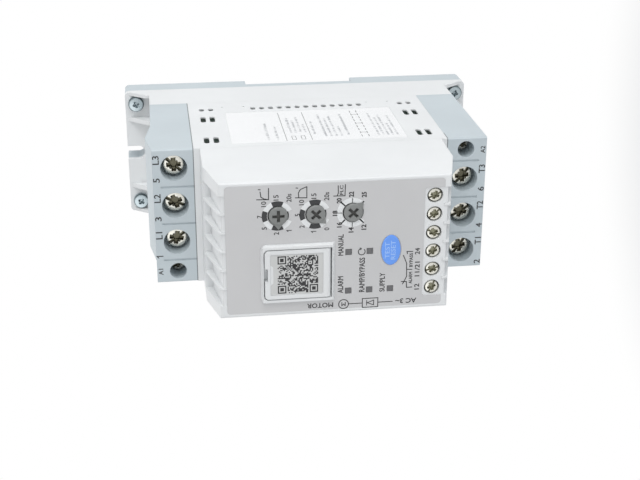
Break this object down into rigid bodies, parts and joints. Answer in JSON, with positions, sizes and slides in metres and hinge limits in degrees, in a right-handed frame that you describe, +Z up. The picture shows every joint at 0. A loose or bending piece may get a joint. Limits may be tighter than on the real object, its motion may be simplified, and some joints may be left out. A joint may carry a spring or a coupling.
{
  "type": "soft starter",
  "caption": "Narrow modular motor soft starter: pale stepped housing on a flanged base, grey screw terminal blocks at both ends, front panel with dials, button, indicators and a small hatch.",
  "frame": {"origin": "middle of the rear plane, at the centre of the rail channel, which is half-way up and half-way across the device", "axes": "as installed: +Z up towards the line terminals, -Y out of the front panel, +X to the device's right seen from the front"},
  "size_m": [0.045, 0.1065, 0.1236],
  "materials": {
    "housing_white": "fine moulded texture, pale cool white",
    "terminal_grey": "fine moulded texture, blue grey",
    "latch_black": "moulded, black",
    "film_grey": "satin printed polyester film",
    "label_white": "glossy label film",
    "dial_grey": "moulded, mid grey",
    "button_blue": "satin, bright blue",
    "lens_clear": "clear indicator rods that look dark when unlit",
    "nickel_steel": "nickel plated terminal screws",
    "zinc_steel": "bright zinc plate",
    "spring_steel": "drawn wire",
    "copper": "bare copper strip",
    "heat_sink_aluminium": "extruded",
    "board_green": "solder mask on glass fibre board",
    "component_black": "moulded component bodies",
    "component_blue": "dipped and moulded component bodies",
    "component_pale": "moulded relay cases"
  },
  "bodies": {
    "housing": {"rear_plate": "terminal_grey", "latch_spring": "spring_steel", "base_tray": "housing_white", "flange_screws": "zinc_steel", "heat_sink": "heat_sink_aluminium", "thyristor_modules": "component_black", "power_board": "board_green", "bypass_relays": "component_black", "current_transformers": "component_black", "varistors": "component_blue", "supply_capacitor": "component_black", "supply_transformer": "component_black", "line_busbars": "copper", "load_busbars": "copper", "driver_board": "board_green", "board_header": "component_black", "mid_housing": "housing_white", "side_label": "label_white", "line_terminal_block": "terminal_grey", "load_terminal_block": "terminal_grey", "line_clamps": "zinc_steel", "load_clamps": "zinc_steel", "control_clamps": "zinc_steel", "line_screws": "nickel_steel", "load_screws": "nickel_steel", "control_screws": "nickel_steel", "front_cover": "housing_white", "front_film": "film_grey", "control_board": "board_green", "signal_relays": "component_pale", "potentiometers": "component_blue", "reset_switch": "component_black", "status_leds": "component_pale", "light_pipes": "lens_clear", "setup_socket": "component_black", "relay_terminal_strip": "component_black", "relay_clamps": "zinc_steel", "relay_screws": "nickel_steel"},
    "ramp_up_dial": {"ramp_up_dial": "dial_grey"},
    "ramp_down_dial": {"ramp_down_dial": "dial_grey"},
    "current_dial": {"current_dial": "dial_grey"},
    "test_button": {"test_button": "button_blue"},
    "hatch_door": {"hatch_door": "housing_white"},
    "din_latch": {"din_latch": "latch_black"}
  },
  "joints": [
    {"name": "ramp_up_turn", "type": "hinge", "parent": "housing", "child": "ramp_up_dial", "pos_m": [0.0109, -0.1055, 0.0171], "axis": [0, 1, 0], "range_deg": [-45, 225]},
    {"name": "ramp_down_turn", "type": "hinge", "parent": "housing", "child": "ramp_down_dial", "pos_m": [0.0109, -0.1055, 0.00595], "axis": [0, 1, 0], "range_deg": [0, 270]},
    {"name": "current_turn", "type": "hinge", "parent": "housing", "child": "current_dial", "pos_m": [0.0109, -0.1055, -0.0052], "axis": [0, 1, 0], "range_deg": [-270, 0]},
    {"name": "test_button_press", "type": "slide", "parent": "housing", "child": "test_button", "axis": [0, 1, 0], "range_m": [0, 0.0006], "stiffness_N_per_m": 2500},
    {"name": "hatch_swing", "type": "hinge", "parent": "housing", "child": "hatch_door", "pos_m": [-0.00785, -0.1053, 0.0026], "axis": [1, 0, 0], "range_deg": [0, 95]},
    {"name": "latch_slide", "type": "slide", "parent": "housing", "child": "din_latch", "axis": [0, 0, -1], "range_m": [0, 0.003], "stiffness_N_per_m": 3000, "deforming": ["latch_spring"]}
  ]
}
